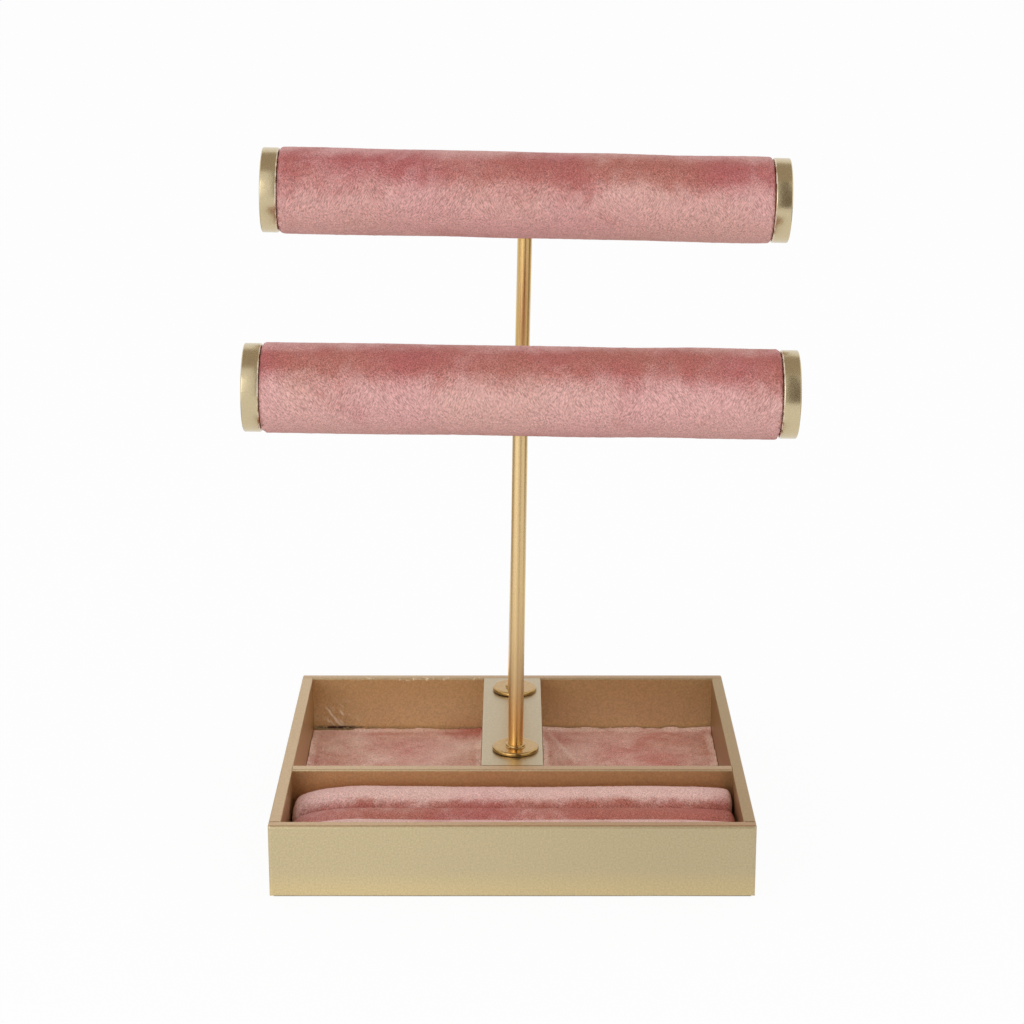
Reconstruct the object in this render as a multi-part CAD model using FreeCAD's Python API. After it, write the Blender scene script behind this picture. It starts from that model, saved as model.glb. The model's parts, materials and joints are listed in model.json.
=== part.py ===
import FreeCAD, Part
import math
import os

# Bracelet display: a painted fibreboard tray with two lined compartments, a drop-in ring insert and two
# padded bracelet bars on brass posts. Millimetres. +X is the right-hand side, +Y the back and +Z up. The
# origin is the middle of the tray's footprint, on the surface that the display stands on.

# Tray
tray_width = 210.0
tray_depth = 192.0
tray_height = 33.4
wall_thickness = 5.2
divider_thickness = 5.5
floor_thickness = 4.3
felt_thickness = 0.5
felt_inset = 1.5
ring_bay_depth = 59.3
corner_radius = 1.4
rim_radius = 0.8

# Plinth between the two back compartments, a hollow block that carries the posts
plinth_width = 28.5
plinth_top_thickness = 6.0
cheek_thickness = 4.0
nut_access_clearance = 2.0

# Compartment liners: card wrapped in velvet
liner_card_thickness = 1.2
liner_velvet_thickness = 1.2
liner_clearance = 0.9
liner_edge_radius = 0.7
wrap_clearance = 0.1

# Ring insert: foam rolls side by side on a card, each wrapped in velvet and rounded off at its ends
roll_names = ("rear", "middle", "front")
insert_card_thickness = 1.2
insert_side_clearance = 0.5
insert_end_clearance = 0.6
roll_crest_below_rim = 4.0
roll_gap = 0.3
roll_cover_thickness = 1.2
roll_foot_draw = 0.6
roll_end_drop = 4.5
roll_end_run = 30.0
roll_end_radius = 3.0
roll_end_angles = (0, 45, 90)
roll_sink_shares = (0.35, 1.0)
roll_sink_power = 4

# Posts: a brass rod with a threaded stud at each end, standing on a loose flange
rod_diameter = 6.9
stud_diameter = 5.0
stud_projection = 1.5
chamfer = 0.5
flange_diameter = 21.5
flange_thickness = 1.8
flange_web = 0.9
flange_edge = 0.6
hub_wall = 1.2
hub_height = 1.5
washer_diameter = 12.0
washer_thickness = 1.0
nut_across_flats = 8.0
nut_sides = 6
nut_height = 4.0
thread_fit = 0.05
seat_fit = 0.05
stud_hole_clearance = 0.5

# Where the posts stand and how many degrees they lean to the right, in the play of the stud in its hole
front_post_side = 1.5
front_post_setback = 20.3
front_post_lean = 0.78
rear_post_side = 1.2
rear_post_setback = 17.0
rear_post_lean = 1.2

# Bracelet bars: a tube with a padded velvet sleeve, a turned cap in each end and a socket in the middle
lower_bar_rise = 170.1
upper_bar_rise = 245.1
bar_length = 246.0
core_diameter = 36.0
core_wall = 2.5
pad_thickness = 2.1
pad_fit = 0.05
sleeve_end_gap = 0.6
cap_length = 8.0
cap_lip = 1.7
cap_edge = 0.9
spigot_length = 10.0
plug_fit = 0.1
socket_length = 30.0
insert_length = 12.0
insert_wall = 1.3
stud_top_clearance = 1.5
rod_clearance = 0.4
rest_gap = 0.3

# Places worked out from the sizes above
inner_half_width = tray_width / 2 - wall_thickness
back_inner = tray_depth / 2 - wall_thickness
front_inner = -back_inner
divider_front = front_inner + ring_bay_depth
divider_back = divider_front + divider_thickness
floor_top = felt_thickness + floor_thickness
plinth_half_width = plinth_width / 2
plinth_underside = tray_height - plinth_top_thickness
rod_radius = rod_diameter / 2
stud_radius = stud_diameter / 2
flange_radius = flange_diameter / 2
core_radius = core_diameter / 2
core_bore_radius = core_radius - core_wall
core_length = bar_length - 2 * cap_length
insert_radius = rod_radius + insert_wall


def point(x, y, z):
    return FreeCAD.Vector(x, y, z)


def block(x_low, x_high, y_low, y_high, z_low, z_high):
    return Part.makeBox(x_high - x_low, y_high - y_low, z_high - z_low, point(x_low, y_low, z_low))


def upright_cylinder(radius, z_low, z_high):
    return Part.makeCylinder(radius, z_high - z_low, point(0, 0, z_low))


def rounded(shape, radius, chosen):
    """Fillet the straight edges whose two end points are both chosen."""
    edges = [edge for edge in shape.Edges if all(chosen(vertex.Point) for vertex in edge.Vertexes)]
    return shape.makeFillet(radius, edges)


def near(value, target):
    return abs(value - target) < 1e-6


def outline(steps):
    """Closed wire through corner points; a step of two points is an arc, through the first to the second."""
    edges = []
    start = steps[0]
    for step in steps[1:] + steps[:1]:
        if isinstance(step, tuple):
            edges.append(Part.Arc(start, step[0], step[1]).toShape())
            start = step[1]
        else:
            edges.append(Part.LineSegment(start, step).toShape())
            start = step
    return Part.Wire(edges)


def turned(steps, axis):
    """Solid of revolution of a closed outline about an axis through the origin."""
    return Part.Face(outline(steps)).revolve(point(0, 0, 0), axis, 360)


# Tray


def end_wall(outer, inner):
    """Front or back wall: full width, with rounded outer corners and a rounded rim."""
    half = tray_width / 2
    wall = block(-half, half, min(outer, inner), max(outer, inner), felt_thickness, tray_height)
    wall = rounded(wall, corner_radius, lambda p: near(p.y, outer) and near(abs(p.x), half))
    return rounded(wall, rim_radius, lambda p: near(p.z, tray_height))


def side_wall(outer, inner):
    """Left or right wall, butted between the end walls, with its two long rim edges rounded."""
    wall = block(min(outer, inner), max(outer, inner), front_inner, back_inner, felt_thickness, tray_height)
    for edge_side in (outer, inner):
        wall = rounded(wall, rim_radius, lambda p: near(p.z, tray_height) and near(p.x, edge_side))
    return wall


def divider():
    wall = block(-inner_half_width, inner_half_width, divider_front, divider_back, floor_top, tray_height)
    for edge_side in (divider_front, divider_back):
        wall = rounded(wall, rim_radius, lambda p: near(p.z, tray_height) and near(p.y, edge_side))
    return wall


def bottom_board(posts):
    """Floor panel let in between the walls, with a hole under each post for its nut."""
    panel = block(-inner_half_width, inner_half_width, front_inner, back_inner, felt_thickness, floor_top)
    access_radius = washer_diameter / 2 + nut_access_clearance
    for post in posts:
        hole = upright_cylinder(access_radius, felt_thickness, floor_top)
        hole.translate(point(post["side"], post["depth"], 0))
        panel = panel.cut(hole)
    return panel


def base_felt():
    half_width = tray_width / 2 - felt_inset
    half_depth = tray_depth / 2 - felt_inset
    return block(-half_width, half_width, -half_depth, half_depth, 0, felt_thickness)


def plinth_top(posts):
    """Board flush with the rim, with a hole for each stud that is wide enough for the post's lean."""
    half = plinth_half_width
    top = block(-half, half, divider_back, back_inner, plinth_underside, tray_height)
    for edge_side in (-half, half):
        top = rounded(top, rim_radius, lambda p: near(p.z, tray_height) and near(p.x, edge_side))
    for post in posts:
        play = plinth_top_thickness * math.tan(math.radians(abs(post["lean"])))
        hole = upright_cylinder(stud_radius + stud_hole_clearance + play, plinth_underside, tray_height)
        hole.translate(point(post["side"], post["depth"], 0))
        top = top.cut(hole)
    return top


def plinth_cheek(direction):
    outer = direction * plinth_half_width
    inner = direction * (plinth_half_width - cheek_thickness)
    return block(min(outer, inner), max(outer, inner), divider_back, back_inner, floor_top, plinth_underside)


# Compartment liners


def liner_pieces(direction):
    """Card and its velvet wrap, which is turned down over the card's edges."""
    outer = inner_half_width - liner_clearance
    inner = plinth_half_width + liner_clearance
    front = divider_back + liner_clearance
    back = back_inner - liner_clearance
    card_top = floor_top + liner_card_thickness
    low, high = sorted((direction * outer, direction * inner))
    margin = liner_velvet_thickness
    velvet = block(low, high, front, back, floor_top, card_top + liner_velvet_thickness)
    velvet = rounded(velvet, liner_edge_radius, lambda p: p.z > card_top)
    pocket = block(low + margin, high - margin, front + margin, back - margin, floor_top, card_top)
    inset = margin + wrap_clearance
    card = block(low + inset, high - inset, front + inset, back - inset, floor_top, card_top)
    return card, velvet.cut(pocket)


# Ring insert


def roll_section(x, half_width, foot, crest):
    """Section across a roll: sides drawn in towards the foot, and a round top of two arcs."""
    foot_half = half_width - roll_foot_draw
    shoulder = crest - half_width
    slant = half_width * math.sqrt(0.5)
    return outline([
        point(x, -foot_half, foot),
        point(x, -half_width, shoulder),
        (point(x, -slant, shoulder + slant), point(x, 0, crest)),
        (point(x, slant, shoulder + slant), point(x, half_width, shoulder)),
        point(x, foot_half, foot),
    ])


def roll_form(length, half_width, foot, crest):
    """Roll along X whose crest sinks towards both ends, where it rounds over."""
    rounding = [roll_end_radius * (1 - math.cos(math.radians(angle))) for angle in roll_end_angles]
    sinking = [roll_end_radius + (roll_end_run - roll_end_radius) * share for share in roll_sink_shares]
    stations = rounding + sinking
    sections = []
    for side in (-1, 1):
        half = []
        for station in stations:
            left = max(roll_end_radius - station, 0)
            inset = roll_end_radius - math.sqrt(roll_end_radius ** 2 - left ** 2)
            drop = roll_end_drop * (1 - station / roll_end_run) ** roll_sink_power + inset
            x = side * (length / 2 - station)
            half.append(roll_section(x, half_width - inset, foot, crest - drop))
        sections += half if side < 0 else half[::-1]
    return Part.makeLoft(sections, True, True)


def ring_insert_pieces():
    """Card, and a foam roll and its velvet cover for each name, from the divider to the front wall."""
    half_length = inner_half_width - insert_end_clearance
    back = divider_front - insert_side_clearance
    front = front_inner + insert_side_clearance
    card_top = floor_top + insert_card_thickness
    pieces = {"ring_insert_card": block(-half_length, half_length, front, back, floor_top, card_top)}
    pitch = (back - front + roll_gap) / len(roll_names)
    half_width = (pitch - roll_gap) / 2
    crest = tray_height - roll_crest_below_rim
    foam_wall = roll_cover_thickness + wrap_clearance

    def form_within(wall):
        return roll_form(2 * (half_length - wall), half_width - wall, card_top, crest - wall)

    for index, name in enumerate(roll_names):
        middle = point(0, back - half_width - index * pitch, 0)
        cover = form_within(0).cut(form_within(roll_cover_thickness))
        pieces[name + "_roll_foam"] = form_within(foam_wall).translated(middle)
        pieces[name + "_roll_cover"] = cover.translated(middle)
    return pieces


# Posts, built upright with the flange's underside at the origin


def post_flange():
    """Disc with a bevelled rim and a tapered hub that the rod stands in."""
    bore = stud_radius + seat_fit
    seat = rod_radius + seat_fit
    hub = rod_radius + hub_wall
    return turned([
        point(bore, 0, 0),
        point(flange_radius, 0, 0),
        point(flange_radius, 0, flange_thickness - flange_edge),
        point(flange_radius - flange_edge, 0, flange_thickness),
        point(hub, 0, flange_thickness),
        point(seat, 0, flange_thickness + hub_height),
        point(seat, 0, flange_web),
        point(bore, 0, flange_web),
    ], point(0, 0, 1))


def post_rod(post):
    """Rod with a stud at both ends: the lower goes through the plinth, the upper into the bar's insert."""
    top = post["rise"] - insert_length / 2 - rest_gap
    stud_top = post["rise"] + insert_length / 2
    stud_end = -(post["washer_drop"] + washer_thickness + nut_height + stud_projection)
    return turned([
        point(0, 0, stud_end),
        point(stud_radius - chamfer, 0, stud_end),
        point(stud_radius, 0, stud_end + chamfer),
        point(stud_radius, 0, flange_web),
        point(rod_radius, 0, flange_web),
        point(rod_radius, 0, top),
        point(stud_radius, 0, top),
        point(stud_radius, 0, stud_top - chamfer),
        point(stud_radius - chamfer, 0, stud_top),
        point(0, 0, stud_top),
    ], point(0, 0, 1))


def post_washer(post):
    top = -post["washer_drop"]
    ring = upright_cylinder(washer_diameter / 2, top - washer_thickness, top)
    return ring.cut(upright_cylinder(stud_radius + stud_hole_clearance, top - washer_thickness, top))


def post_nut(post):
    top = -(post["washer_drop"] + washer_thickness)
    across_corners = nut_across_flats / math.cos(math.pi / nut_sides)
    corners = []
    for index in range(nut_sides):
        angle = 2 * math.pi * index / nut_sides
        corners.append(point(across_corners / 2 * math.cos(angle), across_corners / 2 * math.sin(angle), top))
    prism = Part.Face(outline(corners)).extrude(point(0, 0, -nut_height))
    return prism.cut(upright_cylinder(stud_radius + thread_fit, top - nut_height, top))


# Bracelet bar, built along X about the origin


def rod_passage(radius):
    """Hole from below up to the bar's axis."""
    return upright_cylinder(radius, -core_diameter, 0)


def bar_core():
    start = point(-core_length / 2, 0, 0)
    tube = Part.makeCylinder(core_radius, core_length, start, point(1, 0, 0))
    tube = tube.cut(Part.makeCylinder(core_bore_radius, core_length, start, point(1, 0, 0)))
    return tube.cut(rod_passage(rod_radius + rod_clearance))


def bar_sleeve():
    """Padded velvet sleeve, drawn in over the tube at both ends."""
    half = core_length / 2 - sleeve_end_gap
    inner = core_radius + pad_fit
    outer = core_radius + pad_thickness
    rise = outer - inner
    slant = rise * (1 - math.sqrt(0.5))
    sleeve = turned([
        point(-half, 0, inner),
        point(-half + slant, 0, outer - slant),
        point(-half + rise, 0, outer),
        point(half - rise, 0, outer),
        point(half - slant, 0, outer - slant),
        point(half, 0, inner),
    ], point(1, 0, 0))
    return sleeve.cut(rod_passage(rod_radius + rod_clearance))


def bar_cap(direction):
    """Turned cap: band with a bevelled edge, and a spigot that plugs the tube."""
    band = core_radius + cap_lip
    spigot = core_bore_radius - plug_fit

    def at(along, radius):
        return point(direction * (core_length / 2 + along), 0, radius)

    return turned([
        at(-spigot_length, 0),
        at(-spigot_length, spigot),
        at(0, spigot),
        at(0, band),
        at(cap_length - cap_edge, band),
        at(cap_length, band - cap_edge),
        at(cap_length, 0),
    ], point(1, 0, 0))


def bar_socket():
    """Wooden plug across the middle of the tube, bored from below for the threaded insert."""
    radius = core_bore_radius - plug_fit
    plug = Part.makeCylinder(radius, socket_length, point(-socket_length / 2, 0, 0), point(1, 0, 0))
    bore_top = insert_length / 2 + stud_top_clearance
    return plug.cut(upright_cylinder(insert_radius + thread_fit, -core_diameter, bore_top))


def bar_insert():
    """Brass insert pressed into the socket, with a bore for the post's upper stud."""
    half = insert_length / 2
    sleeve = upright_cylinder(insert_radius, -half, half)
    return sleeve.cut(upright_cylinder(stud_radius + thread_fit, -half, half))


# Each post with its bar, stood on the plinth at the post's lean


def post_values(side, depth, lean, rise):
    """A post's own sizes: the lift clears its tilted flange, the drop clears its tilted washer."""
    lean_angle = math.radians(abs(lean))
    lift = flange_radius * math.sin(lean_angle)
    washer_tilt = washer_diameter / 2 * math.tan(lean_angle)
    drop = (plinth_top_thickness + lift) / math.cos(lean_angle) + washer_tilt
    return {"side": side, "depth": depth, "lean": lean, "rise": rise, "lift": lift, "washer_drop": drop}


def stood(shape, post, height):
    """Raise an upright piece along its post, lean it to the right and set it on the plinth."""
    foot = point(post["side"], post["depth"], tray_height + post["lift"])
    lean = FreeCAD.Rotation(point(0, 1, 0), post["lean"])
    raised = FreeCAD.Placement(point(0, 0, height), FreeCAD.Rotation())
    shape.Placement = FreeCAD.Placement(foot, lean).multiply(raised)
    return shape


def post_pieces(name, post):
    return {
        name + "_post": stood(post_rod(post), post, 0),
        name + "_post_flange": stood(post_flange(), post, 0),
        name + "_post_washer": stood(post_washer(post), post, 0),
        name + "_post_nut": stood(post_nut(post), post, 0),
    }


def bar_pieces(name, post):
    made = {
        "core": bar_core(),
        "sleeve": bar_sleeve(),
        "cap_left": bar_cap(-1),
        "cap_right": bar_cap(1),
        "socket": bar_socket(),
        "insert": bar_insert(),
    }
    return {name + "_bar_" + key: stood(shape, post, post["rise"]) for key, shape in made.items()}


def display_pieces():
    front_depth = divider_back + front_post_setback
    rear_depth = back_inner - rear_post_setback
    front_post = post_values(front_post_side, front_depth, front_post_lean, lower_bar_rise)
    rear_post = post_values(rear_post_side, rear_depth, rear_post_lean, upper_bar_rise)
    posts = (front_post, rear_post)
    half_width = tray_width / 2
    half_depth = tray_depth / 2
    pieces = {
        "front_board": end_wall(-half_depth, front_inner),
        "back_board": end_wall(half_depth, back_inner),
        "left_board": side_wall(-half_width, -inner_half_width),
        "right_board": side_wall(half_width, inner_half_width),
        "bottom_board": bottom_board(posts),
        "divider_board": divider(),
        "plinth_top": plinth_top(posts),
        "plinth_left_cheek": plinth_cheek(-1),
        "plinth_right_cheek": plinth_cheek(1),
        "base_felt": base_felt(),
    }
    for side, direction in (("left", -1), ("right", 1)):
        card, velvet = liner_pieces(direction)
        pieces[side + "_liner_card"] = card
        pieces[side + "_liner_velvet"] = velvet
    pieces.update(ring_insert_pieces())
    pieces.update(post_pieces("front", front_post))
    pieces.update(post_pieces("rear", rear_post))
    pieces.update(bar_pieces("lower", front_post))
    pieces.update(bar_pieces("upper", rear_post))
    return pieces


os.makedirs("parts", exist_ok=True)
for node, solid in display_pieces().items():
    solid.exportStep("parts/" + node + ".step")
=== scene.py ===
# %% [markdown]
# A bracelet display, dressed in Blender
#
# The display is an open tray of boards sprayed champagne gold. A plinth runs down the middle of its back
# half, and two brass rods stand on it. Each rod carries a bar padded with rose velvet. The front bay of the
# tray holds three velvet rolls for rings, and the two back compartments have velvet liners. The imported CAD
# model is the frame of this scene. What is hard and plain in it stays and gets a finish, and what is soft
# or finely turned is modelled again here, in the same place.

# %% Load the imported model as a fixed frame
import json
import math

import bmesh
import bpy
from mathutils import Matrix, Vector, noise


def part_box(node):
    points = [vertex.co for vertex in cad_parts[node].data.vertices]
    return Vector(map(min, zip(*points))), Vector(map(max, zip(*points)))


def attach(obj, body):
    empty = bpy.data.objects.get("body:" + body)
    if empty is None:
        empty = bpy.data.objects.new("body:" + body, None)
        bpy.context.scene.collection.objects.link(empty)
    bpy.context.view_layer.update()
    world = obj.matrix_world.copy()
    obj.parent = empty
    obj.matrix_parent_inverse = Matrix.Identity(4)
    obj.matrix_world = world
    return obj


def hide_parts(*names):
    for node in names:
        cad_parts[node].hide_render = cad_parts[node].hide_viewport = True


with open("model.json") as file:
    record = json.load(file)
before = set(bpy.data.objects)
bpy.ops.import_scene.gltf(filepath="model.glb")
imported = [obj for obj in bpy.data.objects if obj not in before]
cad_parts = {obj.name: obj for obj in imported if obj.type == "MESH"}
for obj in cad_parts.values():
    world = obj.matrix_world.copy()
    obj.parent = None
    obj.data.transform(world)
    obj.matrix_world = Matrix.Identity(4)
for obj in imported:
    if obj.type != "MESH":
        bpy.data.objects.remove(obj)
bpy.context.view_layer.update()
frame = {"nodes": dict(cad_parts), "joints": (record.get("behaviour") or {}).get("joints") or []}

mm = 0.001

# %% [markdown]
# The camera
#
# The photograph looks slightly down on the display from straight in front. The camera could be placed by
# eye, but here its place, tilt and lens come from fitting a camera to the corners of the tray and the ends
# of the bars.

# %% Place the camera
camera_place = (-0.0001, -1.0891, 0.4586)
camera_looks_down = math.radians(16.016)
camera_lens = 87.9
sensor_width = 36.0

bpy.ops.object.camera_add(location=camera_place, rotation=(math.radians(90) - camera_looks_down, 0, 0))
camera = bpy.context.object
camera.data.lens = camera_lens
camera.data.sensor_width = sensor_width
bpy.context.scene.camera = camera
bpy.context.scene.view_settings.view_transform = "Standard"
print("camera", round(Vector(camera_place).length, 3), "m from the origin")

# %% [markdown]
# Building node trees
#
# Every finish here is a small tree of nodes. One helper adds a node, sets its settings and fills its
# inputs, and an input is either a plain value or the output of an earlier node, which is then linked.

# %% Helpers for node trees
def fill(tree, node, inputs):
    """Set or link a node's inputs by name or by number, and give the node back."""
    for name, value in inputs.items():
        if isinstance(value, bpy.types.NodeSocket):
            tree.links.new(value, node.inputs[name])
        else:
            node.inputs[name].default_value = value
    return node


def put(tree, kind, inputs=None, **settings):
    """Add a node to a tree, with its settings, and fill its inputs."""
    node = tree.nodes.new(kind)
    for name, value in settings.items():
        setattr(node, name, value)
    return fill(tree, node, inputs or {})


def calculate(tree, operation, first, second=0.0, third=0.0):
    """The result of one Math node."""
    return put(tree, "ShaderNodeMath", {0: first, 1: second, 2: third}, operation=operation).outputs[0]


def mix_colours(tree, share, first, second, way="MIX"):
    """The colour output of a Mix node. Its colour inputs are the seventh and the eighth."""
    node = put(tree, "ShaderNodeMix", {0: share, 6: first, 7: second}, data_type="RGBA", blend_type=way)
    return node.outputs[2]


def cloudiness(tree, place, scale, detail=2.0, roughness=0.5, distortion=0.0):
    """The grey value of a noise texture. Scale is in features per metre."""
    return put(tree, "ShaderNodeTexNoise", {
        "Vector": place, "Scale": scale, "Detail": detail, "Roughness": roughness, "Distortion": distortion,
    }).outputs[0]


def ramp(tree, value, low, high, to_low=0.0, to_high=1.0):
    """Take a value from one range to another with soft ends, and hold it there outside."""
    inputs = {"Value": value, "From Min": low, "From Max": high, "To Min": to_low, "To Max": to_high}
    return put(tree, "ShaderNodeMapRange", inputs, interpolation_type="SMOOTHSTEP").outputs[0]


def bumpy(tree, height, distance, strength):
    """The normal that a Bump node makes of a height."""
    node = put(tree, "ShaderNodeBump", {"Height": height, "Distance": distance, "Strength": strength})
    return node.outputs[0]


def painted(red, green, blue):
    """A colour as it looks on a screen, from 0 to 255, as the linear colour that nodes use."""
    shares = [value / 255 for value in (red, green, blue)]
    linear = [share / 12.92 if share <= 0.04045 else ((share + 0.055) / 1.055) ** 2.4 for share in shares]
    return (*linear, 1.0)


print("rose velvet in linear light:", [round(value, 3) for value in painted(214, 160, 155)[:3]])

# %% [markdown]
# Light and floor
#
# The photograph has an even white background and hardly any shadow. More light on the object would bleach
# it, so the white is only what the camera, gloss and glass see: the world and the floor ask Light Path
# which ray is looking. To other rays the world is dimmer, and the floor is plain white paint that the
# display can shade.

# %% The world and the floor
world_glow = 0.78
floor_white = 0.9
floor_glow_share = 0.94
floor_size = 40.0
floor_drop = 0.05 * mm


def seen_directly(tree):
    """A mask that is 1 for the rays that see the white background as it is."""
    path = put(tree, "ShaderNodeLightPath")
    seen = calculate(tree, "MAXIMUM", path.outputs["Is Camera Ray"], path.outputs["Is Glossy Ray"])
    return calculate(tree, "MAXIMUM", seen, path.outputs["Is Transmission Ray"])


world = bpy.data.worlds.new("white studio")
bpy.context.scene.world = world
world.use_nodes = True
tree = world.node_tree
tree.nodes.clear()
strength = calculate(tree, "MULTIPLY_ADD", seen_directly(tree), 1.0 - world_glow, world_glow)
sky = put(tree, "ShaderNodeBackground", {"Color": (1, 1, 1, 1), "Strength": strength})
put(tree, "ShaderNodeOutputWorld", {"Surface": sky.outputs[0]})

bpy.ops.mesh.primitive_plane_add(size=floor_size, location=(0, 0, -floor_drop))
floor = bpy.context.object
floor.name = "floor"
paint = bpy.data.materials.new("floor white")
paint.use_nodes = True
tree = paint.node_tree
tree.nodes.clear()
matt = put(tree, "ShaderNodeBsdfDiffuse", {"Color": (floor_white, floor_white, floor_white, 1)})
glow = put(tree, "ShaderNodeEmission", {"Color": (1, 1, 1, 1), "Strength": 1.0})
share = calculate(tree, "MULTIPLY", seen_directly(tree), floor_glow_share)
both = put(tree, "ShaderNodeMixShader", {0: share, 1: matt.outputs[0], 2: glow.outputs[0]})
put(tree, "ShaderNodeOutputMaterial", {"Surface": both.outputs[0]})
floor.data.materials.append(paint)
print("floor", floor_size, "m square")

# %% [markdown]
# Soft boxes
#
# The rods show one broad highlight left of their middle and a weaker one on the right, so a large soft box
# stands in front on the left and a dimmer one on the right. Both are low, because the tops of the bars
# aren't brighter than their fronts.

# %% The soft boxes
light_aim = Vector((0, 0, 0.15))


def soft_box(name, place, width, height, watts):
    """An area lamp that faces the display."""
    bpy.ops.object.light_add(type="AREA", location=place)
    lamp = bpy.context.object
    lamp.name = name
    lamp.data.shape = "RECTANGLE"
    lamp.data.size = width
    lamp.data.size_y = height
    lamp.data.energy = watts
    lamp.rotation_euler = (light_aim - Vector(place)).to_track_quat("-Z", "Y").to_euler()
    return lamp


soft_box("key box", place=(-1.0, -1.5, 0.75), width=0.9, height=1.2, watts=6)
fill_box = soft_box("fill box", place=(1.3, -1.2, 0.6), width=0.8, height=1.2, watts=2.5)
fill_box.visible_glossy = False
print("two soft boxes")

# %% [markdown]
# The dark side of the room
#
# Polished metal shows its surroundings as bands. The caps have a dark olive band above their middle, which
# comes lower on the right ones. The rods have a bright stripe on the left, a dark one just right of their
# middle and dark edges. So the ceiling, the room behind the camera and both sides were dark, and a white
# panel stood in front on the left. Cards do that job: only gloss sees them, so they change no light on the
# cloth.

# %% The cards
def gloss_card(name, place, tilt, turn, width, height, colour):
    """A glowing card that shows only in gloss. Tilt 0 is level and 90 upright; turn is about the vertical."""
    slope = (math.radians(tilt), 0, math.radians(turn))
    bpy.ops.mesh.primitive_plane_add(size=1, location=place, rotation=slope)
    card = bpy.context.object
    card.name = name
    card.scale = (width, height, 1)
    card.visible_camera = False
    card.visible_diffuse = False
    card.visible_shadow = False
    glow = bpy.data.materials.new(name)
    glow.use_nodes = True
    tree = glow.node_tree
    tree.nodes.clear()
    shine = put(tree, "ShaderNodeEmission", {"Color": (*colour, 1), "Strength": 1.0})
    put(tree, "ShaderNodeOutputMaterial", {"Surface": shine.outputs[0]})
    card.data.materials.append(glow)
    print(name, width, "by", height, "m")


dark_room = (0.17, 0.135, 0.1)
dim_ceiling = (0.45, 0.39, 0.325)
dark_side = (0.2, 0.165, 0.125)
dim_side = (0.42, 0.36, 0.28)
white_panel = (1.6, 1.6, 1.6)
gloss_card("ceiling card", (0.0, 0.25, 1.6), tilt=0, turn=0, width=1.6, height=1.9, colour=dim_ceiling)
gloss_card("room card", (0.34, -1.25, 1.3), tilt=90, turn=0, width=0.62, height=2.6, colour=dark_room)
gloss_card("right card", (0.55, 0.06, 0.12), tilt=90, turn=90, width=0.44, height=0.24, colour=dark_side)
gloss_card("left card", (-0.3, 0.12, 0.065), tilt=90, turn=65, width=0.34, height=0.13, colour=dim_side)
gloss_card("left panel", (-0.62, -0.45, 0.22), tilt=90, turn=-54, width=0.36, height=0.44, colour=white_panel)

# %% [markdown]
# Velvet pile
#
# Velvet is short pile that stands on a cloth. Where the pile leans towards you it looks dark and full, and
# where it leans away it looks pale, so brushing leaves patches with soft, ragged borders. Hair particles
# could draw every fibre, but they are slow and wouldn't export. This group gets a lie value for each point
# of the cloth, breaks its border up with noise, and adds the fine strokes of the fibres, as colour and as
# height for a Bump node.

# %% The velvet pile group
def new_group(name, inputs, outputs):
    """A shader node group with named sockets, with its input and output nodes."""
    group = bpy.data.node_groups.new(name, "ShaderNodeTree")
    for direction, sockets in (("INPUT", inputs), ("OUTPUT", outputs)):
        for socket_name, kind in sockets.items():
            group.interface.new_socket(socket_name, in_out=direction, socket_type="NodeSocket" + kind)
    return group, put(group, "NodeGroupInput").outputs, put(group, "NodeGroupOutput")


pile_patches_per_metre = 38.0
pile_streaks_per_metre = 150.0
pile_turns_per_metre = 55.0
pile_tones_per_metre = 24.0
patch_strength = 1.5
patch_level = -1.1
streak_strength = 0.7
fibre_length = 1.9 * mm
fibre_width = 0.42 * mm
fibre_slants = (math.radians(58), math.radians(-64))
turn_border = (0.44, 0.56)
lie_range = (-0.05, 1.0)
deeper_where_full = (0.1, 0.9, 1.3, 1.0)
fibre_range = (0.3, 0.7)
hue_drift = (0.3, 0.7, 0.496, 0.51)

# Each piece's lie holds painted light and shade as well as the brushing of its pile.
velvet_pile, asks, gives = new_group(
    "velvet pile",
    {"Place": "Vector", "Lie": "Float", "Full": "Color", "Pale": "Color",
     "Patchy": "Float", "Fibre": "Float"},
    {"Colour": "Color", "Height": "Float"},
)
patches = cloudiness(velvet_pile, asks["Place"], pile_patches_per_metre, 3.0, 0.55, 0.5)
streaks = cloudiness(velvet_pile, asks["Place"], pile_streaks_per_metre, 3.0, 0.6, 0.4)
turns = cloudiness(velvet_pile, asks["Place"], pile_turns_per_metre, 1.0)
tones = cloudiness(velvet_pile, asks["Place"], pile_tones_per_metre, 2.0)
broad = calculate(velvet_pile, "MULTIPLY_ADD", patches, patch_strength, patch_level)
wander = calculate(velvet_pile, "MULTIPLY_ADD", streaks, streak_strength, broad)
lie = calculate(velvet_pile, "MULTIPLY_ADD", wander, asks["Patchy"], asks["Lie"])
fibre_size = (fibre_length, fibre_width, fibre_width)
strokes = []
for slant in fibre_slants:
    turned_place = put(velvet_pile, "ShaderNodeMapping", {
        "Vector": asks["Place"], "Rotation": (0.0, slant, 0.0), "Scale": fibre_size}, vector_type="TEXTURE")
    strokes.append(cloudiness(velvet_pile, turned_place.outputs[0], 1.0, 2.0, 0.6, 0.6))
which = ramp(velvet_pile, turns, *turn_border)
first_part = calculate(velvet_pile, "MULTIPLY", strokes[0], calculate(velvet_pile, "SUBTRACT", 1.0, which))
fibres = calculate(velvet_pile, "MULTIPLY_ADD", strokes[1], which, first_part)
body = mix_colours(velvet_pile, ramp(velvet_pile, lie, *lie_range), asks["Full"], asks["Pale"])
depth = calculate(velvet_pile, "MULTIPLY", asks["Fibre"], ramp(velvet_pile, lie, *deeper_where_full))
crisp = calculate(velvet_pile, "SUBTRACT", ramp(velvet_pile, fibres, *fibre_range), 0.5)
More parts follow.
